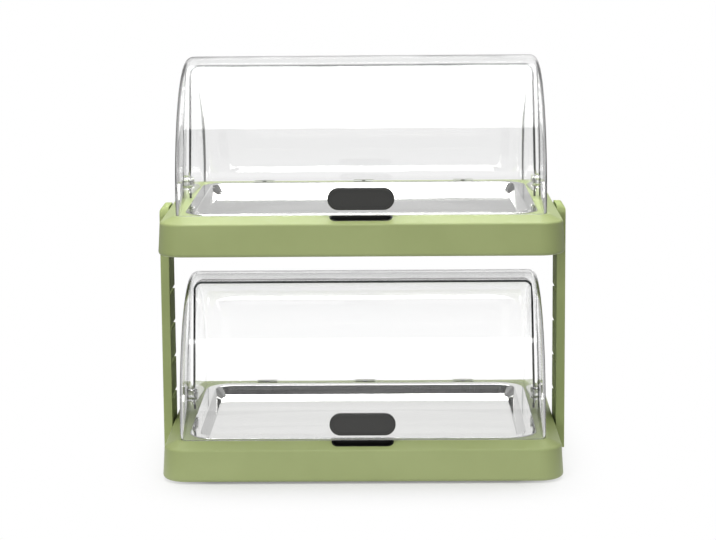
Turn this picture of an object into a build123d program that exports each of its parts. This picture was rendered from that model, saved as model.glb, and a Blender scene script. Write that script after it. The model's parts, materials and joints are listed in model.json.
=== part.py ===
from build123d import *
import os
from math import cos, radians, sin, sqrt, tan

# Two-tier roll-top cooling display, in millimetres.
# X is the width, the front faces -Y, Z is up, and the feet stand on Z = 0.
# Each tier is drawn once, with its own Z = 0 at the underside of its base,
# and then written twice, at the height of the lower and of the upper tier.

# Base: a moulded tub whose rim slopes up to a flat land under the hood
base_width = 440.0
base_depth = 320.0
base_height = 42.0
base_corner = 28.0
base_draft = 3.5
base_wall = 4.0
bottom_round = 3.5
land_margin = 16.5
rim_slope_drop = 7.0
rim_round = 2.5
outer_deck = 3.0
land_deck = 5.0
well_wall = 2.5
well_floor_top = 8.0

# Stack of the two tiers
foot_height = 2.0
foot_diameter = 20.0
foot_inset = 34.0
tier_gap = 44.0

# Pressed steel tray, hung by its flange in a shallow seat in the land
tray_side_gap = 1.1
tray_front_gap = 6.4
tray_rear_gap = 4.75
tray_corner = 30.0
tray_sheet = 0.8
tray_lip = 3.0
tray_flange = 11.0
tray_pan_depth = 10.0
tray_floor_round = 4.0
tray_mouth_round = 1.6
tray_seat_depth = 2.0
tray_seat_clearance = 0.4
tray_pan_clearance = 1.5

# Clear hoods, both round about the hinge line
hinge_above_land = 18.0
clear_wall = 2.5
hood_front_margin = 0.6
hood_side_margin = 3.6
hood_draft = 0.028
hood_edge_round = 9.5
hood_rise_past_top = 4.0
hood_bottom_gap = 0.4
hood_lip_height = 6.0
hood_lip_angle = 1.2
hood_lip_side_gap = 14.0
shell_top_gap = 7.4
shell_side_gap = 3.2
shell_draft = 0.028
shell_edge_round = 10.0
shell_lead_before_top = 4.0
hood_boss_radius = 14.0
shell_boss_radius = 12.0

# Hinge hardware
pin_diameter = 8.0
pin_head_diameter = 16.0
pin_head_height = 2.0
pin_head_round = 0.8
running_clearance = 0.05
side_play = 0.3
washer_diameter = 17.0
pin_cap_diameter = 13.0
pin_cap_length = 2.8
pin_cap_end = 0.8

# Tabs that screw the rear shell down
tab_width = 24.0
tab_reach = 9.0
tab_thickness = 1.6
tab_spacing = 120.0
tab_count = 3

# Grip, clamped through the hood wall
grip_length = 72.0
grip_height = 24.0
grip_above_land = 19.0
grip_proud = 5.5
grip_round = 1.6
grip_dish_margin = 2.6
grip_dish_depth = 0.6
grip_back_thickness = 2.5
grip_back_margin = 1.5
grip_screw_spacing = 44.0
grip_fit = 0.05

# Finger cup in the rim below the grip
cup_length = 68.0
cup_depth = 14.0
cup_wall = 1.8
cup_reach = 8.5
cup_pocket_depth = 9.0
cup_floor = 1.5
cup_fit = 0.1
cup_block_margin = 4.0

# Ice packs that lie side by side in the well
pack_side_gap = 3.0
pack_top_gap = 1.0
pack_corner = 14.0
pack_round = 5.0
pack_channel_width = 10.0
pack_channel_depth = 2.5
pack_channel_count = 4
pack_channel_pitch = 44.0
pack_neck_diameter = 11.0
pack_neck_length = 6.0
pack_cap_diameter = 16.0
pack_cap_length = 9.0
pack_notch = 30.0

# Bottom cover
cover_thickness = 2.5
cover_clearance = 0.3
cover_boss_diameter = 9.0

# Side supports, channels that stand beside both bases
support_thickness = 10.0
support_depth = 54.0
support_wall = 2.5
support_bottom = 4.0
support_outer_round = 5.0
support_ear_round = 12.0
support_edge_round = 0.8
slot_height = 4.5
slot_front_margin = 3.5
slot_rear_notch = 6.0
slot_count = 4
slot_first_rise = 19.0
slot_pitch = 40.6

# Screws, drawn with plain shanks
screw_fit = 0.05
hole_slack = 0.3
blind_spare = 1.0
edge_pick = 0.1
cover_screw = {"shank": 3.0, "length": 12.0, "head": 6.0, "head_height": 1.7}
shell_screw = {"shank": 3.0, "length": 9.0, "head": 5.6, "head_height": 1.4}
grip_screw = {"shank": 2.6, "length": 8.0, "head": 5.0, "head_height": 1.8}
support_screw = {"shank": 4.0, "length": 12.0, "head": 8.0, "head_height": 2.6}
support_screw_spacing = 28.0
support_screw_height = 18.0
support_boss_diameter = 11.0

# Sizes that follow from those above
land_width = base_width - 2 * land_margin
land_depth = base_depth - 2 * land_margin
land_corner = base_corner - land_margin
rim_edge = base_height - rim_slope_drop
draft_slope = tan(radians(base_draft))
rim_front = base_depth / 2 - rim_edge * draft_slope
hinge_height = base_height + hinge_above_land
hinge_axis = Axis((0, 0, hinge_height), (1, 0, 0))


def reach_at_land(radius):
    """How far a surface round the hinge line reaches forwards or back at the height of the land."""
    return sqrt(radius ** 2 - hinge_above_land ** 2)


hood_foot = land_depth / 2 - hood_front_margin
hood_radius = sqrt(hood_foot ** 2 + hinge_above_land ** 2)
hood_half_width = land_width / 2 - hood_side_margin + hood_draft * hood_radius
shell_radius = hood_radius - clear_wall - shell_top_gap
shell_half_width = hood_half_width - clear_wall - shell_side_gap
tray_front = -reach_at_land(hood_radius - clear_wall) + tray_front_gap
tray_rear = reach_at_land(shell_radius - clear_wall) - tray_rear_gap
tray_depth = tray_rear - tray_front
tray_back_offset = (tray_rear + tray_front) / 2
tray_width = 2 * (shell_half_width - clear_wall - shell_draft * (tray_rear - tray_corner) - tray_side_gap)
tray_top = base_height - tray_seat_depth + tray_lip
pan_width = tray_width - 2 * tray_flange
pan_depth = tray_depth - 2 * tray_flange
pan_corner = tray_corner - tray_flange
tray_underside = tray_top - tray_pan_depth - tray_sheet
well_width = pan_width + 2 * tray_pan_clearance
well_depth = pan_depth + 2 * tray_pan_clearance
well_corner = pan_corner + tray_pan_clearance
pack_width = (well_width - 3 * pack_side_gap) / 2
pack_length = well_depth - 2 * pack_side_gap
pack_height = tray_underside - well_floor_top - pack_top_gap
pack_centre = (pack_width + pack_side_gap) / 2
cavity_half_width = base_width / 2 - base_wall
cavity_half_depth = base_depth / 2 - base_wall
cavity_corner = base_corner - base_wall
well_underside = well_floor_top - well_wall
cover_screw_x = (cavity_half_width + well_width / 2 + well_wall) / 2
cover_screw_front = (cavity_half_depth + well_depth / 2 - tray_back_offset + well_wall) / 2
cover_screw_rear = (cavity_half_depth + well_depth / 2 + tray_back_offset + well_wall) / 2
shell_foot = reach_at_land(shell_radius)
tab_screw_y = shell_foot + tab_reach / 2
grip_z = base_height + grip_above_land
grip_pilot_depth = grip_screw["length"] - grip_back_thickness - clear_wall + blind_spare
cup_y = -land_depth / 2 - cup_reach + cup_depth / 2
cup_pocket_floor = base_height - cup_pocket_depth
upper_level = foot_height + hinge_height + hood_radius + tier_gap
tier_levels = {"lower": foot_height, "upper": upper_level}

os.makedirs("parts", exist_ok=True)


def save(part, name):
    """Name one finished sub-part and write its STEP file."""
    part.label = name
    export_step(part, f"parts/{name}.step")


def hinge_plane(back_tilt):
    """Plane through the hinge line, leaning back from upright by back_tilt degrees."""
    lean = radians(back_tilt)
    return Plane((0, 0, hinge_height), x_dir=(1, 0, 0), z_dir=(0, -cos(lean), sin(lean)))


def half_width(widest, draft, radius):
    """Half width of a hood at a distance from the hinge line."""
    return widest - draft * radius


def hood_section(radius, widest, draft, corner):
    """Half section of a hood above the hinge line: widest there, with its wall hollowed out."""
    with BuildSketch() as section:
        for inset, mode in ((0, Mode.ADD), (clear_wall, Mode.SUBTRACT)):
            foot = widest - inset
            rim = half_width(foot, draft, radius)
            top = radius - inset
            with BuildLine() as outline:
                FilletPolyline(
                    (-foot, 0), (-rim, top), (rim, top), (foot, 0), radius=corner - inset
                )
                Line((foot, 0), (-foot, 0))
            make_face(mode=mode)
    return section.sketch


def boss_inner(widest, draft, boss_radius):
    """Inner face of a flat hinge boss, flush with the cheek's inner face at the boss's edge."""
    return half_width(widest - clear_wall, draft, boss_radius)


def facing_out(side, x):
    """Plane on the hinge line at x, facing away from the middle of the display."""
    return Plane((side * x, 0, hinge_height), x_dir=(0, side, 0), z_dir=(side, 0, 0))


def facing_in(side, x):
    """Plane on the hinge line at x, facing the middle of the display."""
    return Plane((side * x, 0, hinge_height), x_dir=(0, side, 0), z_dir=(-side, 0, 0))


def group(blank, locations):
    """Copies of one solid at several places, in one sub-part."""
    with BuildPart() as copies:
        for location in locations:
            add(blank.moved(location))
    return copies.part


def draw_screw(screw, countersunk=False):
    """Screw along +Z with the underside of its head at the origin, driven towards -Z."""
    radius = screw["shank"] / 2
    head = screw["head"] / 2
    with BuildPart() as blank:
        with BuildSketch() as shank_outline:
            Circle(radius)
        extrude(amount=-screw["length"])
        chamfer(blank.edges().group_by(Axis.Z)[0], radius / 3)
        if countersunk:
            with Locations((0, 0, -screw["head_height"] / 2)):
                Cone(radius, head, screw["head_height"])
            top = 0
        else:
            with BuildSketch() as head_outline:
                Circle(head)
            extrude(amount=screw["head_height"])
            fillet(blank.edges().group_by(Axis.Z)[-1], screw["head_height"] / 3)
            top = screw["head_height"]
        with BuildSketch(Plane.XY.offset(top)) as cross_slot:
            Rectangle(head, radius / 2)
            Rectangle(radius / 2, head)
        extrude(amount=-screw["head_height"] / 2, mode=Mode.SUBTRACT)
    return blank.part


shell_boss_inner = boss_inner(shell_half_width, shell_draft, shell_boss_radius)
hood_boss_inner = boss_inner(hood_half_width, hood_draft, hood_boss_radius)

# Where the screws and bosses go
cover_screw_places = [
    (side * cover_screw_x, y) for side in (-1, 1) for y in (-cover_screw_front, 0, cover_screw_rear)
] + [(0, -cover_screw_front), (0, cover_screw_rear)]
tab_places = [((i - (tab_count - 1) / 2) * tab_spacing, tab_screw_y) for i in range(tab_count)]
grip_screw_places = [(-grip_screw_spacing / 2, grip_z), (grip_screw_spacing / 2, grip_z)]
support_screw_ys = (-support_screw_spacing / 2, support_screw_spacing / 2)

# Base, solid first, narrowing upwards, then hollowed from below and above
with BuildPart() as base:
    with BuildSketch() as base_outline:
        RectangleRounded(base_width, base_depth, base_corner)
    extrude(amount=base_height, taper=base_draft)
    base_top = base.faces().sort_by(Axis.Z)[-1]
    chamfer(
        base_top.edges(),
        length=land_margin - base_height * draft_slope,
        length2=rim_slope_drop / cos(radians(base_draft)),
        reference=base_top,
    )
    rim_edges = base.edges().filter_by_position(Axis.Z, rim_edge - edge_pick, rim_edge + edge_pick)
    fillet(rim_edges, rim_round)
    fillet(base.edges().group_by(Axis.Z)[0], bottom_round)

    # hollow below: all across under the well floor, then a ring round the well, narrower under the land
    with BuildSketch() as under_well:
        RectangleRounded(2 * cavity_half_width, 2 * cavity_half_depth, cavity_corner)
    extrude(amount=well_underside, mode=Mode.SUBTRACT)
    rings = (
        (2 * cavity_half_width, 2 * cavity_half_depth, cavity_corner, well_underside, rim_edge - outer_deck),
        (land_width, land_depth, land_corner, rim_edge - outer_deck, base_height - land_deck),
    )
    for ring_width, ring_depth, ring_corner, ring_bottom, ring_top in rings:
        with BuildSketch(Plane.XY.offset(ring_bottom)) as ring_outline:
            RectangleRounded(ring_width, ring_depth, ring_corner)
            with Locations((0, tray_back_offset)):
                RectangleRounded(
                    well_width + 2 * well_wall,
                    well_depth + 2 * well_wall,
                    well_corner + well_wall,
                    mode=Mode.SUBTRACT,
                )
        extrude(amount=ring_top - ring_bottom, mode=Mode.SUBTRACT)

    # well for the ice packs, and the seat of the tray flange round it
    with BuildSketch(Plane.XY.offset(well_floor_top)) as well_outline:
        with Locations((0, tray_back_offset)):
            RectangleRounded(well_width, well_depth, well_corner)
    extrude(amount=base_height, mode=Mode.SUBTRACT)
    with BuildSketch(Plane.XY.offset(base_height - tray_seat_depth)) as tray_seat:
        with Locations((0, tray_back_offset)):
            RectangleRounded(
                tray_width + 2 * tray_seat_clearance,
                tray_depth + 2 * tray_seat_clearance,
                tray_corner + tray_seat_clearance,
            )
    extrude(amount=tray_seat_depth, mode=Mode.SUBTRACT)

    # bosses for the bottom cover, the side supports and the rear shell
    with BuildSketch(Plane.XY.offset(cover_thickness)) as cover_bosses:
        with Locations(cover_screw_places):
            Circle(cover_boss_diameter / 2)
    extrude(amount=rim_edge - outer_deck / 2 - cover_thickness)
    with BuildSketch(Plane.XY.offset(rim_edge - outer_deck)) as tab_bosses:
        with Locations(tab_places):
            Circle(cover_boss_diameter / 2)
    extrude(amount=outer_deck + rim_slope_drop - land_deck)
    for side in (-1, 1):
        side_wall = Plane(
            (side * base_width / 2, 0, support_screw_height), x_dir=(0, 1, 0), z_dir=(-side, 0, 0)
        )
        with BuildSketch(side_wall.offset(base_wall)) as side_bosses:
            with Locations([(y, 0) for y in support_screw_ys]):
                Circle(support_boss_diameter / 2)
        extrude(amount=support_screw["length"] - base_wall)
        with BuildSketch(side_wall) as side_holes:
            with Locations([(y, 0) for y in support_screw_ys]):
                Circle(support_screw["shank"] / 2 + screw_fit)
        extrude(amount=support_screw["length"] - support_wall + blind_spare, mode=Mode.SUBTRACT)
    with BuildSketch(Plane.XY.offset(cover_thickness)) as cover_pilots:
        with Locations(cover_screw_places):
            Circle(cover_screw["shank"] / 2 + screw_fit)
    extrude(amount=cover_screw["length"], mode=Mode.SUBTRACT)
    with BuildSketch(Plane.XY.offset(base_height)) as tab_pilots:
        with Locations(tab_places):
            Circle(shell_screw["shank"] / 2 + screw_fit)
    extrude(amount=-shell_screw["length"], mode=Mode.SUBTRACT)

    # block under the rim with the pocket of the finger cup
    with BuildSketch(Plane.XY.offset(cup_pocket_floor - cup_block_margin)) as cup_block:
        with Locations((0, cup_y)):
            Rectangle(cup_length + 2 * cup_block_margin, cup_depth + 2 * cup_block_margin)
    extrude(amount=rim_edge - cup_pocket_floor + cup_block_margin)
    with BuildSketch(Plane.XY.offset(cup_pocket_floor)) as cup_pocket:
        with Locations((0, cup_y)):
            SlotOverall(cup_length + 2 * cup_fit, cup_depth + 2 * cup_fit)
    extrude(amount=base_height, mode=Mode.SUBTRACT)

# Finger cup: a black insert whose lip is flush with the sloping rim
with BuildPart() as finger_cup:
    with BuildSketch(Plane.XY.offset(cup_pocket_floor)) as cup_outline:
        with Locations((0, cup_y)):
            SlotOverall(cup_length, cup_depth)
    extrude(amount=base_height - cup_pocket_floor)
    with BuildSketch(Plane.XY.offset(cup_pocket_floor + cup_floor)) as cup_hollow:
        with Locations((0, cup_y)):
            SlotOverall(cup_length - 2 * cup_wall, cup_depth - 2 * cup_wall)
    extrude(amount=base_height, mode=Mode.SUBTRACT)
    rim_slope = Plane(
        (0, -rim_front, rim_edge),
        x_dir=(1, 0, 0),
        z_dir=(0, -rim_slope_drop, rim_front - land_depth / 2),
    )
    split(bisect_by=rim_slope, keep=Keep.BOTTOM)

# Bottom cover, let in flush between the outer walls
with BuildPart() as bottom_cover:
    with BuildSketch() as cover_outline:
        RectangleRounded(
            2 * (cavity_half_width - cover_clearance),
            2 * (cavity_half_depth - cover_clearance),
            base_corner - base_wall - cover_clearance,
        )
    extrude(amount=cover_thickness)
    with Locations(Plane.XY.rotated((180, 0, 0))):
        with Locations([(x, -y) for x, y in cover_screw_places]):
            CounterSinkHole(cover_screw["shank"] / 2 + hole_slack, cover_screw["head"] / 2 + screw_fit)

# Tray: rolled lip, flat flange, sloping walls and floor
def pan_solid(sheet):
    """Solid inside the pan, grown outwards and downwards by the thickness of the sheet."""
    with BuildPart() as pan:
        for shrink, height in ((0, tray_top), (tray_pan_depth, tray_top - tray_pan_depth - sheet)):
            with BuildSketch(Plane.XY.offset(height)) as pan_outline:
                with Locations((0, tray_back_offset)):
                    RectangleRounded(
                        pan_width + 2 * (sheet - shrink),
                        pan_depth + 2 * (sheet - shrink),
                        pan_corner + sheet - shrink,
                    )
        loft()
        fillet(pan.edges().group_by(Axis.Z)[0], tray_floor_round + sheet)
    return pan.part


pan_outside = pan_solid(tray_sheet)
pan_inside = pan_solid(0)
with BuildPart() as tray:
    with BuildSketch(Plane.XY.offset(tray_top)) as flange_outline:
        with Locations((0, tray_back_offset)):
            RectangleRounded(tray_width, tray_depth, tray_corner)
    extrude(amount=-tray_lip)
    fillet(tray.edges().group_by(Axis.Z)[-1], tray_sheet)
    with BuildSketch(Plane.XY.offset(tray_top - tray_lip)) as lip_hollow:
        with Locations((0, tray_back_offset)):
            RectangleRounded(
                tray_width - 2 * tray_sheet, tray_depth - 2 * tray_sheet, tray_corner - tray_sheet
            )
    extrude(amount=tray_lip - tray_sheet, mode=Mode.SUBTRACT)
    add(pan_outside)
    add(pan_inside, mode=Mode.SUBTRACT)
    flange_top = tray.faces().filter_by(Axis.Z).sort_by(Axis.Z)[-1]
    fillet(flange_top.inner_wires().edges(), tray_mouth_round)

# Rear shell: the fixed half, from just before the top round to the rear foot
shell_section = hood_section(shell_radius, shell_half_width, shell_draft, shell_edge_round)
with BuildPart() as rear_shell:
    with BuildSketch(hinge_plane(-shell_lead_before_top)):
        add(shell_section)
    revolve(axis=hinge_axis, revolution_arc=-(180 + shell_lead_before_top))
    split(bisect_by=Plane.XY.offset(base_height), keep=Keep.TOP)
    for side in (-1, 1):
        with BuildSketch(facing_out(side, shell_boss_inner)) as shell_boss:
            Circle(shell_boss_radius)
        extrude(amount=shell_half_width - shell_boss_inner)
        with BuildSketch(facing_out(side, shell_boss_inner)) as shell_pin_hole:
            Circle(pin_diameter / 2 + running_clearance)
        extrude(amount=shell_half_width - shell_boss_inner, mode=Mode.SUBTRACT)
    with BuildSketch(Plane.XY.offset(base_height)) as shell_tabs:
        with Locations([(x, shell_foot) for x, y in tab_places]):
            Rectangle(tab_width, 2 * tab_reach)
        with Locations((0, shell_foot - clear_wall / 2 - tab_reach)):
            Rectangle(base_width, 2 * tab_reach, mode=Mode.SUBTRACT)
    extrude(amount=tab_thickness)
    with Locations([(x, y, base_height + tab_thickness) for x, y in tab_places]):
        CounterSinkHole(shell_screw["shank"] / 2 + hole_slack, shell_screw["head"] / 2 + screw_fit)

# Front hood: the roll-top half, from its bottom edge over the front to just past the top
front_section = hood_section(hood_radius, hood_half_width, hood_draft, hood_edge_round)
with BuildPart() as front_hood:
    with BuildSketch(hinge_plane(hood_rise_past_top)):
        add(front_section)
    revolve(axis=hinge_axis, revolution_arc=180 + hood_rise_past_top)
    split(bisect_by=Plane.XY.offset(base_height + hood_bottom_gap), keep=Keep.TOP)
    # inward lip along the trailing edge, which closes the gap to the rear shell
    with BuildSketch(hinge_plane(hood_rise_past_top)) as lip_section:
        with Locations((0, hood_radius - clear_wall / 2)):
            Rectangle(
                2 * (half_width(hood_half_width, hood_draft, hood_radius) - hood_lip_side_gap),
                hood_lip_height + clear_wall / 2,
                align=(Align.CENTER, Align.MAX),
            )
    revolve(axis=hinge_axis, revolution_arc=hood_lip_angle)
    for side in (-1, 1):
        with BuildSketch(facing_out(side, hood_boss_inner)) as hood_boss:
            Circle(hood_boss_radius)
        extrude(amount=hood_half_width - hood_boss_inner)
        with BuildSketch(facing_out(side, hood_boss_inner)) as hood_pin_hole:
            Circle(pin_diameter / 2 + running_clearance)
        extrude(amount=hood_half_width - hood_boss_inner, mode=Mode.SUBTRACT)
    with BuildSketch(Plane.XZ.offset(hood_radius / 2)) as grip_holes:
        with Locations(grip_screw_places):
            Circle(grip_screw["shank"] / 2 + hole_slack)
    extrude(amount=hood_radius / 2 + clear_wall, mode=Mode.SUBTRACT)

# Hinge hardware, one of each per side
pin_head_inner = hood_half_width + side_play
pin_end = shell_boss_inner - pin_cap_length + pin_cap_end
with BuildPart() as pivot_pins:
    for side in (-1, 1):
        with BuildSketch(facing_out(side, pin_end)) as pin_shank:
            Circle(pin_diameter / 2)
        extrude(amount=pin_head_inner - pin_end)
        with BuildSketch(facing_out(side, pin_head_inner)) as pin_head:
            Circle(pin_head_diameter / 2)
        extrude(amount=pin_head_height)
    head_rims = pivot_pins.edges().filter_by(GeomType.CIRCLE).group_by(lambda e: abs(e.center().X))[-1]
    fillet(head_rims, pin_head_round)

with BuildPart() as pivot_washers:
    for side in (-1, 1):
        with BuildSketch(facing_out(side, shell_half_width)) as washer_ring:
            Circle(washer_diameter / 2)
            Circle(pin_diameter / 2 + running_clearance, mode=Mode.SUBTRACT)
        extrude(amount=hood_boss_inner - side_play - shell_half_width)

with BuildPart() as pivot_caps:
    for side in (-1, 1):
        with BuildSketch(facing_in(side, shell_boss_inner)) as cap_outline:
            Circle(pin_cap_diameter / 2)
        extrude(amount=pin_cap_length)
        with BuildSketch(facing_in(side, shell_boss_inner)) as cap_socket:
            Circle(pin_diameter / 2)
        extrude(amount=pin_cap_length - pin_cap_end, mode=Mode.SUBTRACT)

# Grip: oval front with a dished face, and the back plate inside the hood wall
with BuildPart() as grip_front:
    with BuildSketch(Plane.XZ.offset(hood_radius - clear_wall)) as grip_outline:
        with Locations((0, grip_z)):
            SlotOverall(grip_length, grip_height)
    extrude(amount=clear_wall + grip_proud)
    fillet(grip_front.faces().sort_by(Axis.Y)[0].edges(), grip_round)
    with BuildSketch(Plane.XZ.offset(hood_radius + grip_proud)) as grip_dish:
        with Locations((0, grip_z)):
            SlotOverall(grip_length - 2 * grip_dish_margin, grip_height - 2 * grip_dish_margin)
    extrude(amount=-grip_dish_depth, mode=Mode.SUBTRACT)
    with Locations(Location((0, 0, hinge_height), (0, 90, 0))):
        Cylinder(hood_radius + grip_fit, base_width, mode=Mode.SUBTRACT)
    with BuildSketch(Plane.XZ.offset(hood_radius / 2)) as grip_pilots:
        with Locations(grip_screw_places):
            Circle(grip_screw["shank"] / 2 + screw_fit)
    extrude(amount=hood_radius / 2 + grip_pilot_depth, mode=Mode.SUBTRACT)

grip_back_inner = hood_radius - clear_wall - grip_back_thickness
with BuildPart() as grip_back:
    with BuildSketch(Plane.XZ.offset(grip_back_inner)) as back_outline:
        with Locations((0, grip_z)):
            SlotOverall(grip_length - 2 * grip_back_margin, grip_height - 2 * grip_back_margin)
        with Locations(grip_screw_places):
            Circle(grip_screw["shank"] / 2 + hole_slack, mode=Mode.SUBTRACT)
    extrude(amount=grip_back_thickness + clear_wall)
    with Locations(Location((0, 0, hinge_height), (0, 90, 0))):
        Cylinder(hood_radius - clear_wall - grip_fit, base_width, mode=Mode.INTERSECT)

# Ice pack: blow-moulded bottle with channels, a notch and a filling neck at one front corner
neck_z = well_floor_top + pack_height / 2
with BuildPart() as ice_pack:
    with BuildSketch(Plane.XY.offset(well_floor_top)) as pack_outline:
        with Locations((0, tray_back_offset)):
            RectangleRounded(pack_width, pack_length, pack_corner)
    extrude(amount=pack_height)
    fillet(ice_pack.edges().group_by(Axis.Z)[-1], pack_round)
    fillet(ice_pack.edges().group_by(Axis.Z)[0], pack_round / 2)
    pack_front = tray_back_offset - pack_length / 2
    pack_left = -pack_width / 2
    with BuildSketch(Plane.XY.offset(well_floor_top)) as pack_corner_notch:
        with Locations((pack_left, pack_front)):
            Rectangle(2 * pack_notch, 2 * (pack_neck_length + pack_cap_length))
    extrude(amount=pack_height, mode=Mode.SUBTRACT)
    with BuildSketch(Plane.XY.offset(well_floor_top + pack_height)) as pack_channels:
        with Locations((0, tray_back_offset)):
            with GridLocations(1, pack_channel_pitch, 1, pack_channel_count):
                SlotOverall(pack_width - 4 * pack_round - pack_notch, pack_channel_width)
    extrude(amount=-pack_channel_depth, mode=Mode.SUBTRACT)
    notch_face = Plane(
        (pack_left + pack_notch / 2, pack_front + pack_neck_length + pack_cap_length, neck_z),
        x_dir=(1, 0, 0),
        z_dir=(0, -1, 0),
    )
    with BuildSketch(notch_face) as neck_outline:
        Circle(pack_neck_diameter / 2)
    extrude(amount=pack_neck_length)

with BuildPart() as ice_pack_cap:
    with BuildSketch(notch_face.offset(pack_neck_length)) as pack_cap_outline:
        Circle(pack_cap_diameter / 2)
    extrude(amount=pack_cap_length)
    chamfer(ice_pack_cap.faces().sort_by(Axis.Y)[0].edges(), 1)

# Foot: a thin round pad stuck under the bottom cover
with BuildPart() as foot:
    with BuildSketch() as foot_outline:
        Circle(foot_diameter / 2)
    extrude(amount=-foot_height)
    chamfer(foot.edges().group_by(Axis.Z)[0], foot_height / 4)

# Side support: a channel with its thin web against the bases and its flanges outwards
support_top = upper_level + rim_edge
support_height = support_top - support_bottom
slot_lowest = foot_height + base_height + slot_first_rise
with BuildPart() as side_support:
    with BuildSketch(Plane.XZ.offset(-support_depth / 2)) as support_outline:
        with Locations((base_width / 2, support_bottom)):
            Rectangle(support_thickness, support_height, align=(Align.MIN, Align.MIN))
        top_outer = support_outline.vertices().group_by(Axis.X)[-1].sort_by(Axis.Y)[-1]
        fillet(top_outer, support_outer_round)
    extrude(amount=support_depth)
    fillet(side_support.faces().filter_by(Axis.Y).edges(), support_edge_round)
    with BuildSketch(Plane.YZ.offset(base_width / 2)) as support_profile:
        with Locations((0, support_bottom)):
            Rectangle(support_depth, support_height, align=(Align.CENTER, Align.MIN))
        fillet(support_profile.vertices().group_by(Axis.Y)[-1], support_ear_round)
    extrude(amount=support_thickness, mode=Mode.INTERSECT)
    with BuildSketch(Plane.YZ.offset(base_width / 2 + support_wall)) as channel_hollow:
        with Locations((0, support_bottom + support_height / 2)):
            Rectangle(support_depth - 2 * support_wall, support_height - 2 * support_wall)
        fillet(channel_hollow.vertices().group_by(Axis.Y)[-1], support_ear_round - support_wall)
    extrude(amount=support_thickness, mode=Mode.SUBTRACT)
    # slots from behind the front flange out through the inner part of the rear flange
    for i in range(slot_count):
        with BuildSketch(Plane.YZ.offset(base_width / 2)) as slot_outline:
            with Locations((slot_front_margin - support_depth / 2, slot_lowest + i * slot_pitch)):
                Rectangle(support_depth, slot_height, align=(Align.MIN, Align.CENTER))
        extrude(amount=slot_rear_notch, mode=Mode.SUBTRACT)
    screw_rows = [foot_height + support_screw_height, upper_level + support_screw_height]
    with BuildSketch(Plane.YZ.offset(base_width / 2)) as support_holes:
        with Locations([(y, z) for y in support_screw_ys for z in screw_rows]):
            Circle(support_screw["shank"] / 2 + hole_slack)
    extrude(amount=support_wall, mode=Mode.SUBTRACT)

# Screws, each kind as one group of separate solids
cover_screw_blank = draw_screw(cover_screw, countersunk=True)
shell_screw_blank = draw_screw(shell_screw, countersunk=True)
grip_screw_blank = draw_screw(grip_screw)
support_screw_blank = draw_screw(support_screw)
cover_screws = group(cover_screw_blank, [Location((x, y, 0), (180, 0, 0)) for x, y in cover_screw_places])
shell_screws = group(
    shell_screw_blank, [Location((x, y, base_height + tab_thickness)) for x, y in tab_places]
)
grip_screws = group(
    grip_screw_blank, [Location((x, -grip_back_inner, z), (-90, 0, 0)) for x, z in grip_screw_places]
)
support_screws = group(
    support_screw_blank,
    [
        Location((side * (base_width / 2 + support_wall), y, z), (0, side * 90, 0))
        for side in (-1, 1)
        for y in support_screw_ys
        for z in screw_rows
    ],
)
foot_x = base_width / 2 - foot_inset
foot_y = base_depth / 2 - foot_inset
feet = group(
    foot.part, [Location((x, y, foot_height)) for x in (-foot_x, foot_x) for y in (-foot_y, foot_y)]
)

# Sub-parts of one tier, by the name that follows lower_ or upper_
tier_parts = {
    "base": base.part,
    "finger_cup": finger_cup.part,
    "bottom_cover": bottom_cover.part,
    "cover_screws": cover_screws,
    "ice_pack_left": ice_pack.part.moved(Location((-pack_centre, 0, 0))),
    "ice_pack_right": ice_pack.part.moved(Location((pack_centre, 0, 0))),
    "ice_pack_caps": group(
        ice_pack_cap.part, [Location((-pack_centre, 0, 0)), Location((pack_centre, 0, 0))]
    ),
    "tray": tray.part,
    "rear_shell": rear_shell.part,
    "shell_screws": shell_screws,
    "front_hood": front_hood.part,
    "grip_front": grip_front.part,
    "grip_back": grip_back.part,
    "grip_screws": grip_screws,
    "pivot_pins": pivot_pins.part,
    "pivot_washers": pivot_washers.part,
    "pivot_caps": pivot_caps.part,
}
for tier, level in tier_levels.items():
    for piece, shape in tier_parts.items():
        save(shape.moved(Location((0, 0, level))), f"{tier}_{piece}")

save(feet, "feet")
save(side_support.part, "side_support_right")
save(mirror(side_support.part, about=Plane.YZ), "side_support_left")
save(support_screws, "support_screws")
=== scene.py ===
# %% [markdown]
# # A two-tier roll-top cooling display
#
# The object is a counter display for pastries and sandwiches. Two moulded green bases stand one above
# the other, joined by slotted side supports. Each base holds ice packs, a pressed steel tray over them,
# a fixed clear shell at the back and a clear hood at the front, which rolls back over the shell.
#
# The construction comes ready made, as a fixed frame of named nodes. This lesson gives every node its
# finish, makes the clear pieces anew with polished edges, and sets up a plain studio around them.

# %% Load the frame
import json
from math import cos, pi, radians, sin, tan

import bmesh
import bpy
from mathutils import Matrix, Vector


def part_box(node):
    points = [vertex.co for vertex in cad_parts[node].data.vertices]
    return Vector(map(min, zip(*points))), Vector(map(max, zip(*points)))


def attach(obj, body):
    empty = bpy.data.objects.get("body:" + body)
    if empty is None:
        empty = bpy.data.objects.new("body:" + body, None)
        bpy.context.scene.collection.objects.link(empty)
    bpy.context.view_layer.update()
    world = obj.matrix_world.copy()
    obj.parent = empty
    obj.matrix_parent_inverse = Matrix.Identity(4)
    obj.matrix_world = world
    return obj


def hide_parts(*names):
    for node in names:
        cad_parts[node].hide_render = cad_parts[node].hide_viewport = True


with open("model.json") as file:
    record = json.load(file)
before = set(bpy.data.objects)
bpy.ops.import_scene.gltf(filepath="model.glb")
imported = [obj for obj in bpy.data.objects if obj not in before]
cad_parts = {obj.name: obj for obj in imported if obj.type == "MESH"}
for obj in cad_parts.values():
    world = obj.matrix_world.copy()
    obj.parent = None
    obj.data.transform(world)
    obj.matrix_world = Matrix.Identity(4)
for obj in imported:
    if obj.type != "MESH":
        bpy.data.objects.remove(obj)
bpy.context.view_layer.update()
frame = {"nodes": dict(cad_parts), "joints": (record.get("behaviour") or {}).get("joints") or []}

MM = 0.001
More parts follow.
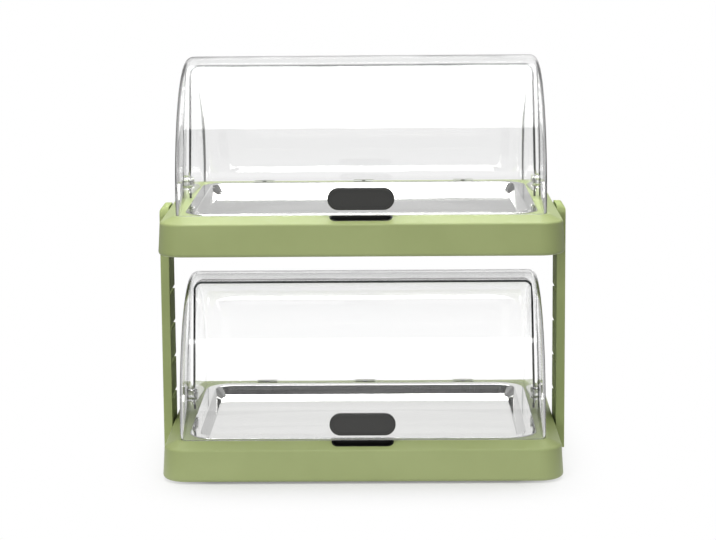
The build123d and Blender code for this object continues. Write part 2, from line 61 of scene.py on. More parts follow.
TIERS = ("lower", "upper")
nodes = frame["nodes"]

# %% [markdown]
# ## Helpers for materials
#
# Colours are written as the hex values that a paint chart or a colour picker shows. Blender wants them
# linear, so one function turns them. A second function adds a shader node: it takes the node's settings
# and its inputs by name, and an input is either a plain value or the socket of another node. A third sets
# the grey levels of a colour ramp, and a fourth starts a material with nothing in it.

# %% Colour and node helpers
def linear(hex_colour):
    """Linear RGBA of an sRGB colour such as '#98A377'."""
    channels = [int(hex_colour[i:i + 2], 16) / 255 for i in (1, 3, 5)]
    turned = [c / 12.92 if c <= 0.04045 else ((c + 0.055) / 1.055) ** 2.4 for c in channels]
    return (*turned, 1.0)


def add_node(tree, kind, inputs=None, **settings):
    """Add one shader node, set it up and link or set its inputs."""
    made = tree.nodes.new(kind)
    for name, value in settings.items():
        setattr(made, name, value)
    for name, value in (inputs or {}).items():
        if isinstance(value, bpy.types.NodeSocket):
            tree.links.new(value, made.inputs[name])
        else:
            made.inputs[name].default_value = value
    return made


def grade(ramp, stops):
    """Set a colour ramp to grey levels, given as pairs of a position and a level."""
    while len(ramp.elements) < len(stops):
        ramp.elements.new(1.0)
    for element, (position, level) in zip(ramp.elements, stops):
        element.position = position
        element.color = (level, level, level, 1.0)


def new_material(name):
    """An empty material and its node tree."""
    material = bpy.data.materials.new(name)
    material.use_nodes = True
    material.node_tree.nodes.clear()
    return material, material.node_tree


print("green plastic as linear:", [round(c, 3) for c in linear("#98A377")])

# %% [markdown]
# ## Green plastics
#
# The bases and the side supports are injection moulded in sage green plastic. The moulds are spark eroded,
# which leaves a fine even grain: the eye sees a satin surface with soft highlights and hardly any colour
# change. The supports come from a rougher mould, so they look matt. Their shades are painted a little
# paler than the bases'. That is painted light, which lifts them out of the shade they stand in under the
# upper base. The real grain is about 0.2 mm and would not show from a step away, so it is drawn about
# 1.4 mm wide. A broad, faint cloud of colour stands for the flow of the melt. Both plastics come from one
# function, which keeps them alike.

# %% Green plastics
GRAIN = 1.4 * MM
GRAIN_DEPTH = 0.05 * MM
FLOW_MARK = 60 * MM


def green_plastic(name, shade, second_shade, smooth, matt, sheen):
    """Sage green plastic from a spark-eroded mould, between two shades and two roughnesses."""
    material, tree = new_material(name)
    place = add_node(tree, "ShaderNodeTexCoord").outputs["Object"]
    grain = add_node(tree, "ShaderNodeTexNoise", {"Vector": place, "Scale": 1 / GRAIN, "Detail": 2.0})
    flow = add_node(tree, "ShaderNodeTexNoise", {"Vector": place, "Scale": 1 / FLOW_MARK, "Detail": 3.0})
    tint = add_node(tree, "ShaderNodeValToRGB", {"Fac": flow.outputs["Fac"]})
    tint.color_ramp.elements[0].position = 0.35
    tint.color_ramp.elements[0].color = linear(shade)
    tint.color_ramp.elements[1].position = 0.65
    tint.color_ramp.elements[1].color = linear(second_shade)
    gloss = add_node(tree, "ShaderNodeMapRange", {
        "Value": grain.outputs["Fac"], "To Min": smooth, "To Max": matt,
    })
    bumps = add_node(tree, "ShaderNodeBump", {
        "Height": grain.outputs["Fac"], "Strength": 0.12, "Distance": GRAIN_DEPTH,
    })
    shader = add_node(tree, "ShaderNodeBsdfPrincipled", {
        "Base Color": tint.outputs["Color"], "Roughness": gloss.outputs["Result"], "IOR": 1.53,
        "Specular IOR Level": sheen, "Normal": bumps.outputs["Normal"],
    })
    add_node(tree, "ShaderNodeOutputMaterial", {"Surface": shader.outputs["BSDF"]})
    return material


green_satin_plastic = green_plastic("green_satin_plastic", "#8E9962", "#929D66", 0.36, 0.46, 0.7)
# Painted light: the supports' shades are paler than the bases' to make up for the shade under the upper
# base.
green_matt_plastic_painted_light = green_plastic("green_matt_plastic_painted_light", "#98A36E", "#9CA772", 0.8, 0.9, 0.15)
print("made", green_satin_plastic.name, "and", green_matt_plastic_painted_light.name)

# %% [markdown]
# ## Clear polycarbonate
#
# Hoods, shells and hinge parts are polished clear polycarbonate. It bends light more than glass does
# (IOR 1.58), so its edges draw dark and bright lines. Lamps have to reach what stands under a hood, so
# the shader is see-through for shadow rays. The plastic itself takes a little light on a long path,
# which greys the edges. A faint waviness from moulding keeps reflections from being perfect: real plastic
# has it too, and without it the drums would look like calculated mirrors.

# %% Clear polycarbonate
MOULD_WAVE = 45 * MM
WAVE_DEPTH = 1 * MM

clear_polycarbonate, tree = new_material("clear_polycarbonate")
place = add_node(tree, "ShaderNodeTexCoord").outputs["Object"]
wave = add_node(tree, "ShaderNodeTexNoise", {"Vector": place, "Scale": 1 / MOULD_WAVE, "Detail": 0.0})
bumps = add_node(tree, "ShaderNodeBump", {
    "Height": wave.outputs["Fac"], "Strength": 0.15, "Distance": WAVE_DEPTH,
})
shader = add_node(tree, "ShaderNodeBsdfPrincipled", {
    "Base Color": linear("#FFFFFF"), "Roughness": 0.01, "IOR": 1.58, "Transmission Weight": 1.0,
    "Normal": bumps.outputs["Normal"],
})
lamp_way = add_node(tree, "ShaderNodeBsdfTransparent", {"Color": linear("#F4F6F6")})
light_path = add_node(tree, "ShaderNodeLightPath")
clear = add_node(tree, "ShaderNodeMixShader", {"Fac": light_path.outputs["Is Shadow Ray"]})
tree.links.new(shader.outputs["BSDF"], clear.inputs[1])
tree.links.new(lamp_way.outputs["BSDF"], clear.inputs[2])
depth_grey = add_node(tree, "ShaderNodeVolumeAbsorption", {"Color": linear("#D8DBDA"), "Density": 4.0})
add_node(tree, "ShaderNodeOutputMaterial", {
    "Surface": clear.outputs["Shader"], "Volume": depth_grey.outputs["Volume"],
})
print("made", clear_polycarbonate.name)

# %% [markdown]
# ## Trimmed edge, painted dark
#
# The top edge of each shell is trimmed after moulding, and the cutter leaves it matt. Its dark grey is
# painted shade. It stands for the dark line that bending light draws along the edge of clear plastic,
# and it is painted as a rough opaque grey plastic. The cutter's marks are drawn about 0.8 mm apart.

# %% Trimmed edge, painted dark
CUTTER_MARK = 0.8 * MM
MARK_DEPTH = 0.05 * MM

trimmed_edge_painted_shade, tree = new_material("trimmed_edge_painted_shade")
place = add_node(tree, "ShaderNodeTexCoord").outputs["Object"]
marks = add_node(tree, "ShaderNodeTexNoise", {"Vector": place, "Scale": 1 / CUTTER_MARK, "Detail": 1.0})
gloss = add_node(tree, "ShaderNodeMapRange", {"Value": marks.outputs["Fac"], "To Min": 0.5, "To Max": 0.65})
bumps = add_node(tree, "ShaderNodeBump", {
    "Height": marks.outputs["Fac"], "Strength": 0.2, "Distance": MARK_DEPTH,
})
# Painted shade: this dark grey draws the dark line along the shell's edge.
shader = add_node(tree, "ShaderNodeBsdfPrincipled", {
    "Base Color": linear("#5A5E5D"), "Roughness": gloss.outputs["Result"], "IOR": 1.58,
    "Normal": bumps.outputs["Normal"],
})
add_node(tree, "ShaderNodeOutputMaterial", {"Surface": shader.outputs["BSDF"]})
print("made", trimmed_edge_painted_shade.name)

# %% [markdown]
# ## Pressed stainless steel
#
# The trays are pressed from rolled stainless sheet and polished. Rolling leaves a grain of fine lines along
# the sheet, which the polish doesn't quite take away, so the tray mirrors the room with a soft edge. The
# lines run along X. They are drawn about a millimetre wide and far longer than that, by stretching a noise,
# because lines of their real width would not show.

# %% Pressed stainless steel
ROLL_LINE = 0.9 * MM
ROLL_LENGTH = 60 * MM
ROLL_DEPTH = 0.02 * MM

pressed_steel, tree = new_material("pressed_stainless_steel")
place = add_node(tree, "ShaderNodeTexCoord").outputs["Object"]
stretch = add_node(tree, "ShaderNodeMapping", {
    "Vector": place, "Scale": (1 / ROLL_LENGTH, 1 / ROLL_LINE, 1 / ROLL_LINE),
})
lines = add_node(tree, "ShaderNodeTexNoise", {
    "Vector": stretch.outputs["Vector"], "Scale": 1.0, "Detail": 2.0,
})
gloss = add_node(tree, "ShaderNodeMapRange", {"Value": lines.outputs["Fac"], "To Min": 0.04, "To Max": 0.09})
bumps = add_node(tree, "ShaderNodeBump", {
    "Height": lines.outputs["Fac"], "Strength": 0.05, "Distance": ROLL_DEPTH,
})
shader = add_node(tree, "ShaderNodeBsdfPrincipled", {
    "Base Color": linear("#EAEAE8"), "Metallic": 1.0, "Roughness": gloss.outputs["Result"],
    "Normal": bumps.outputs["Normal"],
})
add_node(tree, "ShaderNodeOutputMaterial", {"Surface": shader.outputs["BSDF"]})
print("made", pressed_steel.name)

# %% [markdown]
# ## Black plastics
#
# The grips have a soft-touch skin, a matt rubbery coat over black plastic that shows as dark grey. The
# finger cups are nearly pure black. That black is painted shade: it stands for the deep shade inside the
# finger recess under each grip. The bottom covers are the deepest black and the smoothest of the three.
# Their black is partly the covers' own neutral dark colour and partly painted shade, which stands for the
# shade under the upper base that the lower tray mirrors. All three have a fine speckle, drawn about a
# millimetre wide.

# %% Black plastics
SPECK = 1 * MM
SPECK_DEPTH = 0.05 * MM


def black_plastic(name, dark, light, smooth, matt, sheen):
    """A black plastic with a fine speckle between two shades and two roughnesses."""
    material, tree = new_material(name)
    place = add_node(tree, "ShaderNodeTexCoord").outputs["Object"]
    specks = add_node(tree, "ShaderNodeTexNoise", {"Vector": place, "Scale": 1 / SPECK, "Detail": 2.0})
    tint = add_node(tree, "ShaderNodeValToRGB", {"Fac": specks.outputs["Fac"]})
    tint.color_ramp.elements[0].color = linear(dark)
    tint.color_ramp.elements[1].color = linear(light)
    gloss = add_node(tree, "ShaderNodeMapRange", {
        "Value": specks.outputs["Fac"], "To Min": smooth, "To Max": matt,
    })
    bumps = add_node(tree, "ShaderNodeBump", {
        "Height": specks.outputs["Fac"], "Strength": 0.2, "Distance": SPECK_DEPTH,
    })
    shader = add_node(tree, "ShaderNodeBsdfPrincipled", {
        "Base Color": tint.outputs["Color"], "Roughness": gloss.outputs["Result"], "IOR": 1.5,
        "Specular IOR Level": sheen, "Normal": bumps.outputs["Normal"],
    })
    add_node(tree, "ShaderNodeOutputMaterial", {"Surface": shader.outputs["BSDF"]})
    return material


soft_touch_black = black_plastic("soft_touch_black", "#2A2A29", "#383836", 0.32, 0.44, 0.5)
# Painted shade: the finger cups' near-pure black stands for the deep shade in the finger recess.
finger_recess_painted_shade = black_plastic("finger_recess_painted_shade", "#060606", "#0E0E0E", 0.35, 0.5, 0.5)
# Partly painted shade: the covers' deep black also stands for the shade under the upper base.
glossy_black = black_plastic("glossy_black", "#020202", "#060606", 0.2, 0.3, 0.25)
print("made", soft_touch_black.name, finger_recess_painted_shade.name, glossy_black.name)

# %% [markdown]
# ## Ice packs, screws and feet
#
# The packs are blow-moulded blue polyethylene, a waxy half matt plastic, with white polypropylene screw
# caps. The feet are black rubber. These three hardly show, so a slow drift of colour and gloss is enough.
# The screws are bright stainless, with fine marks from turning.

# %% Ice packs, screws and feet
GLOSS_DRIFT = 0.05
TURNING_MARK = 0.8 * MM


def plain_plastic(name, shade, second_shade, patch, roughness, ior):
    """A moulded plastic whose colour drifts a little between two shades."""
    material, tree = new_material(name)
    place = add_node(tree, "ShaderNodeTexCoord").outputs["Object"]
    drift = add_node(tree, "ShaderNodeTexNoise", {"Vector": place, "Scale": 1 / patch, "Detail": 3.0})
    tint = add_node(tree, "ShaderNodeValToRGB", {"Fac": drift.outputs["Fac"]})
    tint.color_ramp.elements[0].color = linear(shade)
    tint.color_ramp.elements[1].color = linear(second_shade)
    gloss = add_node(tree, "ShaderNodeMapRange", {
        "Value": drift.outputs["Fac"],
        "To Min": roughness - GLOSS_DRIFT, "To Max": roughness + GLOSS_DRIFT,
    })
    shader = add_node(tree, "ShaderNodeBsdfPrincipled", {
        "Base Color": tint.outputs["Color"], "Roughness": gloss.outputs["Result"], "IOR": ior,
    })
    add_node(tree, "ShaderNodeOutputMaterial", {"Surface": shader.outputs["BSDF"]})
    return material


blue_polyethylene = plain_plastic("blue_polyethylene", "#3F78B0", "#5A92C4", 25 * MM, 0.42, 1.51)
white_polypropylene = plain_plastic("white_polypropylene", "#DADBDA", "#E4E5E4", 12 * MM, 0.35, 1.49)
foot_rubber = plain_plastic("matt_black_rubber", "#1C1C1C", "#262626", 3 * MM, 0.8, 1.52)

screw_steel, tree = new_material("bright_screw_steel")
place = add_node(tree, "ShaderNodeTexCoord").outputs["Object"]
turned = add_node(tree, "ShaderNodeTexNoise", {"Vector": place, "Scale": 1 / TURNING_MARK, "Detail": 2.0})
gloss = add_node(tree, "ShaderNodeMapRange", {"Value": turned.outputs["Fac"], "To Min": 0.2, "To Max": 0.36})
shader = add_node(tree, "ShaderNodeBsdfPrincipled", {
    "Base Color": linear("#C9C8C5"), "Metallic": 1.0, "Roughness": gloss.outputs["Result"],
})
add_node(tree, "ShaderNodeOutputMaterial", {"Surface": shader.outputs["BSDF"]})
print("made", blue_polyethylene.name, white_polypropylene.name, foot_rubber.name, screw_steel.name)

# %% [markdown]
# ## Dress the ready-made nodes
#
# A node whose shape is right stays as it is. Its object already has one material slot, so the finish
# goes in there and the mesh isn't touched. A table of finishes serves both tiers, and a second one serves
# the pieces that join them.

# %% Dress the ready-made nodes
TIER_FINISHES = {
    "base": green_satin_plastic,
    "bottom_cover": glossy_black,
    "finger_cup": finger_recess_painted_shade,
    "cover_screws": screw_steel,
    "ice_pack_left": blue_polyethylene,
    "ice_pack_right": blue_polyethylene,
    "ice_pack_caps": white_polypropylene,
    "tray": pressed_steel,
    "shell_screws": screw_steel,
    "grip_front": soft_touch_black,
    "grip_back": soft_touch_black,
    "grip_screws": screw_steel,
    "pivot_pins": clear_polycarbonate,
    "pivot_washers": clear_polycarbonate,
    "pivot_caps": clear_polycarbonate,
}
JOINING_FINISHES = {
    "feet": foot_rubber,
    "side_support_left": green_matt_plastic_painted_light,
    "side_support_right": green_matt_plastic_painted_light,
    "support_screws": screw_steel,
}
for tier in TIERS:
    for piece, finish in TIER_FINISHES.items():
        nodes[f"{tier}_{piece}"].material_slots[0].material = finish
for piece, finish in JOINING_FINISHES.items():
    nodes[piece].material_slots[0].material = finish
print("dressed", len(TIERS) * len(TIER_FINISHES) + len(JOINING_FINISHES), "of", len(nodes), "nodes")

# %% [markdown]
# ## Helpers for modelling
#
# The hoods and the shells are modelled anew, with the operators that the menus call. Three steps come
# back again and again: picking vertices by their place, applying a modifier, and fusing a simple body
# with a piece or cutting it out.

# %% Modelling helpers
ROUND_SIDES = 64
BLOCK_ROUND = 0.3 * MM
ALONG_X = (0, pi / 2, 0)
ALONG_Y = (pi / 2, 0, 0)


def pick(piece, test):
    """In edit mode, select the vertices whose place passes a test, and what lies between them."""
    bpy.ops.mesh.select_all(action="DESELECT")
    mesh = bmesh.from_edit_mesh(piece.data)
    for vert in mesh.verts:
        vert.select_set(test(vert.co))
    mesh.select_flush(True)
    bmesh.update_edit_mesh(piece.data)


def apply_modifier(piece, kind, **settings):
    """Add a modifier with its settings and apply it."""
    bpy.context.view_layer.objects.active = piece
    bpy.ops.object.modifier_add(type=kind)
    modifier = piece.modifiers[-1]
    for name, value in settings.items():
        setattr(modifier, name, value)
    bpy.ops.object.modifier_apply(modifier=modifier.name)


def combine(piece, tool, operation):
    """Fuse a tool body with a piece, or cut it out of the piece, and delete the tool."""
    apply_modifier(piece, "BOOLEAN", object=tool, operation=operation, solver="EXACT")
    bpy.data.objects.remove(tool)


def rod(radius, length, centre, turned=(0, 0, 0)):
    """A round tool body, upright unless it is turned."""
    bpy.ops.object.select_all(action="DESELECT")
    bpy.ops.mesh.primitive_cylinder_add(
        vertices=ROUND_SIDES, radius=radius, depth=length, location=centre, rotation=turned
    )
    return bpy.context.object


def block(size, centre, turned=(0, 0, 0)):
    """A box-shaped tool body with softened edges."""
    bpy.ops.object.select_all(action="DESELECT")
    bpy.ops.mesh.primitive_cube_add(size=1, location=centre, rotation=turned)
    made = bpy.context.object
    made.scale = size
    bpy.ops.object.transform_apply(location=False, rotation=False, scale=True)
    apply_modifier(made, "BEVEL", width=BLOCK_ROUND, segments=2)
    return made


print("round tool bodies have", ROUND_SIDES, "sides")

# %% [markdown]
# ## The shape of a roll-top
#
# Hood and shell are one kind of piece: a half drum about the hinge line, with cheeks that lean in a
# little towards the rim, so that the piece leaves its mould, and a round edge between cheek and drum.
# A drum is easiest made as on a lathe. Half of its section is drawn flat as a bent line, whose Y is the
# distance from the hinge line. The line is stood up on the hinge line and spun about it. Near the hinge
# line it starts at a small eye, which keeps the cheek's faces from shrinking to needles there, and
# which the hinge boss fills later. The draft is how far a cheek leans in for each metre towards the rim.
# Bores are cut with rods four walls long, which pass right through.

# %% Draw and turn a section
DRAFT = 0.028
WALL = 2.5 * MM
EYE = 10 * MM
CORNER_STEPS = 12
TURN_STEP = 1.5
MERGE_GAP = 0.1 * MM
RIM_ROUND = 0.4 * MM
RIM_STEPS = 3
SHARP_EDGE = radians(50)
PIN_HOLE = 4.05 * MM
THROUGH = 4 * WALL


def draw_section(name, reach, widest, corner):
    """Half a section as a bent line on the floor: up one cheek, across the drum and down the other."""
    bpy.ops.object.select_all(action="DESELECT")
    bpy.ops.mesh.primitive_plane_add(size=2, location=(0, 0, 0))
    piece = bpy.context.object
    piece.name = name
    eye_width = widest - DRAFT * EYE
    bpy.ops.object.mode_set(mode="EDIT")
    bpy.ops.mesh.select_all(action="SELECT")
    bpy.ops.transform.resize(value=(eye_width, (reach - EYE) / 2, 1), center_override=(0, 0, 0))
    bpy.ops.transform.translate(value=(0, (reach + EYE) / 2, 0))
    pick(piece, lambda place: place.y > reach / 2)
    bpy.ops.transform.resize(
        value=((widest - DRAFT * reach) / eye_width, 1, 1), center_override=(0, 0, 0)
    )
    cut_back = corner * tan((pi / 2 - DRAFT) / 2)
    bpy.ops.mesh.bevel(offset=cut_back, segments=CORNER_STEPS, affect="VERTICES")
    bpy.ops.mesh.select_all(action="SELECT")
    bpy.ops.mesh.delete(type="ONLY_FACE")
    pick(piece, lambda place: place.y < EYE + RIM_ROUND)
    bpy.ops.mesh.delete(type="EDGE")
    bpy.ops.object.mode_set(mode="OBJECT")
    return piece


def turn_section(piece, hinge_height, lean, sweep, foot_height):
    """Stand the section up, leaning back, spin it forwards and cut it off level.

    Lean and sweep are in degrees. Negative ones lean it forwards and spin it backwards.
    """
    piece.rotation_euler = (radians(90 - lean), 0, 0)
    piece.location = (0, 0, hinge_height)
    bpy.ops.object.transform_apply(location=True, rotation=True, scale=True)
    bpy.ops.object.mode_set(mode="EDIT")
    bpy.ops.mesh.select_all(action="SELECT")
    bpy.ops.mesh.spin(
        steps=round(abs(sweep) / TURN_STEP), angle=-radians(sweep),
        center=(0, 0, hinge_height), axis=(1, 0, 0),
    )
    bpy.ops.mesh.select_all(action="SELECT")
    bpy.ops.mesh.bisect(plane_co=(0, 0, foot_height), plane_no=(0, 0, 1), clear_inner=True)
    bpy.ops.mesh.select_all(action="SELECT")
    bpy.ops.mesh.remove_doubles(threshold=MERGE_GAP)
    bpy.ops.mesh.normals_make_consistent(inside=False)
    bpy.ops.object.mode_set(mode="OBJECT")


def thicken(piece):
    """Give the skin its wall, inwards, and round the rims a little."""
    apply_modifier(
        piece, "SOLIDIFY", thickness=WALL, offset=-1, use_even_offset=True, use_quality_normals=True
    )
    apply_modifier(
        piece, "BEVEL", width=RIM_ROUND, segments=RIM_STEPS, limit_method="ANGLE", angle_limit=SHARP_EDGE
    )


def add_hinge_bosses(piece, hinge_height, widest, boss_radius):
    """Fuse a flat disc into both cheeks at the hinge line and bore it for the pin."""
    boss_inner = widest - WALL - DRAFT * boss_radius
    for side in (-1, 1):
        centre = (side * (boss_inner + widest) / 2, 0, hinge_height)
        combine(piece, rod(boss_radius, widest - boss_inner, centre, ALONG_X), "UNION")
        combine(piece, rod(PIN_HOLE, THROUGH, centre, ALONG_X), "DIFFERENCE")


print("turned in steps of", TURN_STEP, "degrees")

# %% [markdown]
# ## Front hood
#
# The hood is the half that rolls back. It reaches four degrees past the top, where a lip along its
# trailing edge hangs down towards the shell and closes the gap, and in front its edge stands just clear
# of the base. Two small holes take the screws of the grip. Its reach and width are read from the ready-made
# node's box, so that the new hood fills the same space. The lip is a bar fused to the wall: its root
# reaches half a wall deep, so that the two bodies truly overlap. The hood is made for the upper tier first.

# %% Front hood
HOOD_CORNER = 9.5 * MM
HOOD_BOSS = 14 * MM
PAST_TOP = 4.0
LIP_HEIGHT = 6 * MM
LIP_THICKNESS = 3 * MM
LIP_ROOT = WALL / 2
LIP_SIDE_GAP = 14 * MM
GRIP_HOLE = 1.6 * MM
GRIP_HOLE_X = 22 * MM
GRIP_ABOVE_HINGE = 1 * MM

hinge_heights = {joint["child"]: joint["pos_m"][2] for joint in frame["joints"] if "pos_m" in joint}
hinge = hinge_heights["upper_hood"]
tier_rise = hinge - hinge_heights["lower_hood"]
hood_low, hood_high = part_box("upper_front_hood")
hood_reach = hood_high.z - hinge
hood_half = hood_high.x

hood = draw_section("upper_hood_clear", hood_reach, hood_half, HOOD_CORNER)
turn_section(hood, hinge, PAST_TOP, 180 + PAST_TOP, hood_low.z)
thicken(hood)
add_hinge_bosses(hood, hinge, hood_half, HOOD_BOSS)

lean = radians(PAST_TOP)
lip_middle = hood_reach - WALL - (LIP_HEIGHT - LIP_ROOT) / 2
lip_forward = LIP_THICKNESS / 2 + RIM_ROUND
lip = block(
    (2 * (hood_half - DRAFT * hood_reach - LIP_SIDE_GAP), LIP_THICKNESS, LIP_HEIGHT + LIP_ROOT),
    (0, lip_middle * sin(lean) - lip_forward * cos(lean),
     hinge + lip_middle * cos(lean) + lip_forward * sin(lean)),
    (-lean, 0, 0),
)
combine(hood, lip, "UNION")
for side in (-1, 1):
    hole = (side * GRIP_HOLE_X, -hood_reach, hinge + GRIP_ABOVE_HINGE)
    combine(hood, rod(GRIP_HOLE, THROUGH, hole, ALONG_Y), "DIFFERENCE")
print("hood reach", round(hood_reach / MM, 2), "mm,", len(hood.data.polygons), "faces")

# %% [markdown]
# ## Rear shell
#
# The shell is the half that stays. It starts four degrees in front of the top, inside the hood, and stands
# on the base at the back, where three tabs take its countersunk screws. The turned drum is made of flat
# strips, and none of their lines runs exactly along the top, so the reach allows for the nearest one.
# A cone sinks the head of each screw into its tab.

# %% Rear shell
SHELL_CORNER = 10 * MM
SHELL_BOSS = 12 * MM
BEFORE_TOP = 4.0
TOP_LINE_OFF = 0.5
TAB_WIDTH = 24 * MM
TAB_DEPTH = 9 * MM
TAB_THICKNESS = 1.6 * MM
TAB_ROOT = WALL / 2
TAB_XS = (-120 * MM, 0, 120 * MM)
TAB_HOLE = 1.8 * MM
SINK_RADIUS = 2.85 * MM
SINK_DEPTH = 1.2 * MM

shell_low, shell_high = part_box("upper_rear_shell")
shell_half = shell_high.x
shell_reach = (shell_high.z - hinge) / cos(radians(TOP_LINE_OFF))
shell = draw_section("upper_shell_clear", shell_reach, shell_half, SHELL_CORNER)
turn_section(shell, hinge, -BEFORE_TOP, -(180 + BEFORE_TOP), shell_low.z)
thicken(shell)
add_hinge_bosses(shell, hinge, shell_half, SHELL_BOSS)
tab_middle = shell_high.y - TAB_DEPTH / 2
tab_top = shell_low.z + TAB_THICKNESS
for x in TAB_XS:
    tab = block(
        (TAB_WIDTH, TAB_DEPTH + TAB_ROOT, TAB_THICKNESS),
        (x, tab_middle - TAB_ROOT / 2, shell_low.z + TAB_THICKNESS / 2),
    )
    combine(shell, tab, "UNION")
    combine(shell, rod(TAB_HOLE, THROUGH, (x, tab_middle, shell_low.z)), "DIFFERENCE")
    bpy.ops.object.select_all(action="DESELECT")
    bpy.ops.mesh.primitive_cone_add(
        vertices=ROUND_SIDES, radius1=TAB_HOLE, radius2=SINK_RADIUS, depth=SINK_DEPTH,
        location=(x, tab_middle, tab_top - SINK_DEPTH / 2),
    )
    combine(shell, bpy.context.object, "DIFFERENCE")
print("shell reach", round(shell_reach / MM, 2), "mm,", len(shell.data.polygons), "faces")

# %% [markdown]
# ## Polish the clear pieces
#
# The drum's strips are smoothed, and Weighted Normal lets the large faces keep their own direction beside
# the small rounds, so that reflections run clean up to the rims. Then the trimmed top edge of the shell
# gets its matt grey finish, whose dark grey is painted shade for the dark line along the edge. Its faces
# are found by their place: they lie in the plane through the hinge line that the shell was turned from,
# and near the drum.

# %% Polish the clear pieces
SMOOTH_BELOW = radians(40)


def polish(piece):
    """Smooth a clear piece and give it its finish."""
    bpy.ops.object.select_all(action="DESELECT")
    piece.select_set(True)
    bpy.context.view_layer.objects.active = piece
    bpy.ops.object.shade_smooth_by_angle(angle=SMOOTH_BELOW)
    apply_modifier(piece, "WEIGHTED_NORMAL", keep_sharp=True)
    piece.data.materials.clear()
    piece.data.materials.append(clear_polycarbonate)


polish(hood)
polish(shell)
shell.data.materials.append(trimmed_edge_painted_shade)
lean = radians(BEFORE_TOP)
for face in shell.data.polygons:
    above_hinge = face.center.z - hinge
    off_rim_plane = face.center.y * cos(lean) + above_hinge * sin(lean)
    if abs(off_rim_plane) < RIM_ROUND and above_hinge > shell_reach - SHELL_CORNER:
        face.material_index = 1
print("trimmed faces:", sum(face.material_index for face in shell.data.polygons))

# %% [markdown]
# ## Copy the clear pieces down
#
# The tiers are alike, so the lower one gets copies with meshes of their own, moved down by the height of a
# tier. Each new piece is hung on an empty named after the body of the node that it stands for, and that node
# is hidden.

# %% Copy the clear pieces down
for piece, node in ((hood, "front_hood"), (shell, "rear_shell")):
    bpy.ops.object.select_all(action="DESELECT")
    piece.select_set(True)
    bpy.context.view_layer.objects.active = piece
    bpy.ops.object.duplicate()
    lower = bpy.context.object
    lower.name = piece.name.replace("upper", "lower")
    lower.location = (0, 0, -tier_rise)
    bpy.ops.object.transform_apply(location=True, rotation=False, scale=False)
    for tier, made in (("upper", piece), ("lower", lower)):
        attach(made, f"{tier}_hood" if node == "front_hood" else "root")
        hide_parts(f"{tier}_{node}")
        print(made.name, "stands for", f"{tier}_{node}")

# %% [markdown]
# ## The studio table
#
# The display stands on a white table. Next to the object it is plain matt white, so that it keeps the
# soft contact shadow, and a little further out it fades to a self-lit white, which the camera sees at
# strength 1. Steel and clear plastic mirror the table too, and they see it as it is lit: brightest behind
# the display, a little darker far behind, and dark at the sides, where no lamp reaches. The picture's
# white shows no trace of that, but in the hoods it draws pale bands and dark outlines.
#
# The tones are pairs of a distance behind the display's middle, in metres, and a brightness there.

# %% The studio table
TABLE_HALF = (3.0, 3.85)
NEAR_END = 1.0
FAR_END = 3.0
BRIGHTEST = 1.2
TABLE_TONES = ((-0.5, 0.85), (0.3, 1.15), (0.6, 1.2), (1.0, 1.2), (2.2, 0.92))
LIT_HALF_FROM = 0.28
LIT_HALF_TO = 0.38
LIT_WIDENING = 0.12
SIDE_TONE = 0.42
FAR_SIDE_TONE = 0.12
SIDES_DARKEN_FROM = 1.2
SIDES_DARKEN_TO = 2.0
SHADOW_HALF = (165 * MM, 160 * MM, 1.0)
SHADOW_FADE_FROM = -0.05
SHADOW_FADE_TO = 0.11

bpy.ops.object.select_all(action="DESELECT")
bpy.ops.mesh.primitive_plane_add(size=2.0, location=(0, 0, 0))
bpy.ops.object.mode_set(mode="EDIT")
bpy.ops.mesh.select_all(action="SELECT")
bpy.ops.transform.resize(value=(*TABLE_HALF, 1))
bpy.ops.object.mode_set(mode="OBJECT")
table = bpy.context.object
table.name = "studio_table"
studio_white, tree = new_material("studio_white")
place = add_node(tree, "ShaderNodeTexCoord").outputs["Object"]
mirrored_place = add_node(tree, "ShaderNodeVectorMath", {0: place}, operation="ABSOLUTE")
beyond = add_node(tree, "ShaderNodeVectorMath", {
    0: mirrored_place.outputs["Vector"], 1: SHADOW_HALF,
}, operation="SUBTRACT")
outside = add_node(tree, "ShaderNodeVectorMath", {
    0: beyond.outputs["Vector"], 1: (0, 0, 0),
}, operation="MAXIMUM")
reach = add_node(tree, "ShaderNodeVectorMath", {0: outside.outputs["Vector"]}, operation="LENGTH")
fade = add_node(tree, "ShaderNodeMapRange", {
    "Value": reach.outputs["Value"], "From Min": SHADOW_FADE_FROM, "From Max": SHADOW_FADE_TO,
}, interpolation_type="SMOOTHSTEP")
ways = add_node(tree, "ShaderNodeSeparateXYZ", {"Vector": place})
side_ways = add_node(tree, "ShaderNodeSeparateXYZ", {"Vector": mirrored_place.outputs["Vector"]})
depth = add_node(tree, "ShaderNodeMapRange", {
    "Value": ways.outputs["Y"], "From Min": -NEAR_END, "From Max": FAR_END,
})
depth_tone = add_node(tree, "ShaderNodeValToRGB", {"Fac": depth.outputs["Result"]})
grade(depth_tone.color_ramp, [
    ((place_y + NEAR_END) / (NEAR_END + FAR_END), tone / BRIGHTEST) for place_y, tone in TABLE_TONES
])
widening = add_node(tree, "ShaderNodeMath", {0: ways.outputs["Y"], 1: -LIT_WIDENING}, operation="MULTIPLY")
off_middle = add_node(tree, "ShaderNodeMath", {
    0: side_ways.outputs["X"], 1: widening.outputs["Value"],
}, operation="ADD")
far_side = add_node(tree, "ShaderNodeMapRange", {
    "Value": ways.outputs["Y"], "From Min": SIDES_DARKEN_FROM, "From Max": SIDES_DARKEN_TO,
    "To Min": SIDE_TONE, "To Max": FAR_SIDE_TONE,
})
side_tone = add_node(tree, "ShaderNodeMapRange", {
    "Value": off_middle.outputs["Value"], "From Min": LIT_HALF_FROM, "From Max": LIT_HALF_TO,
    "To Min": 1.0, "To Max": far_side.outputs["Result"],
}, interpolation_type="SMOOTHSTEP")
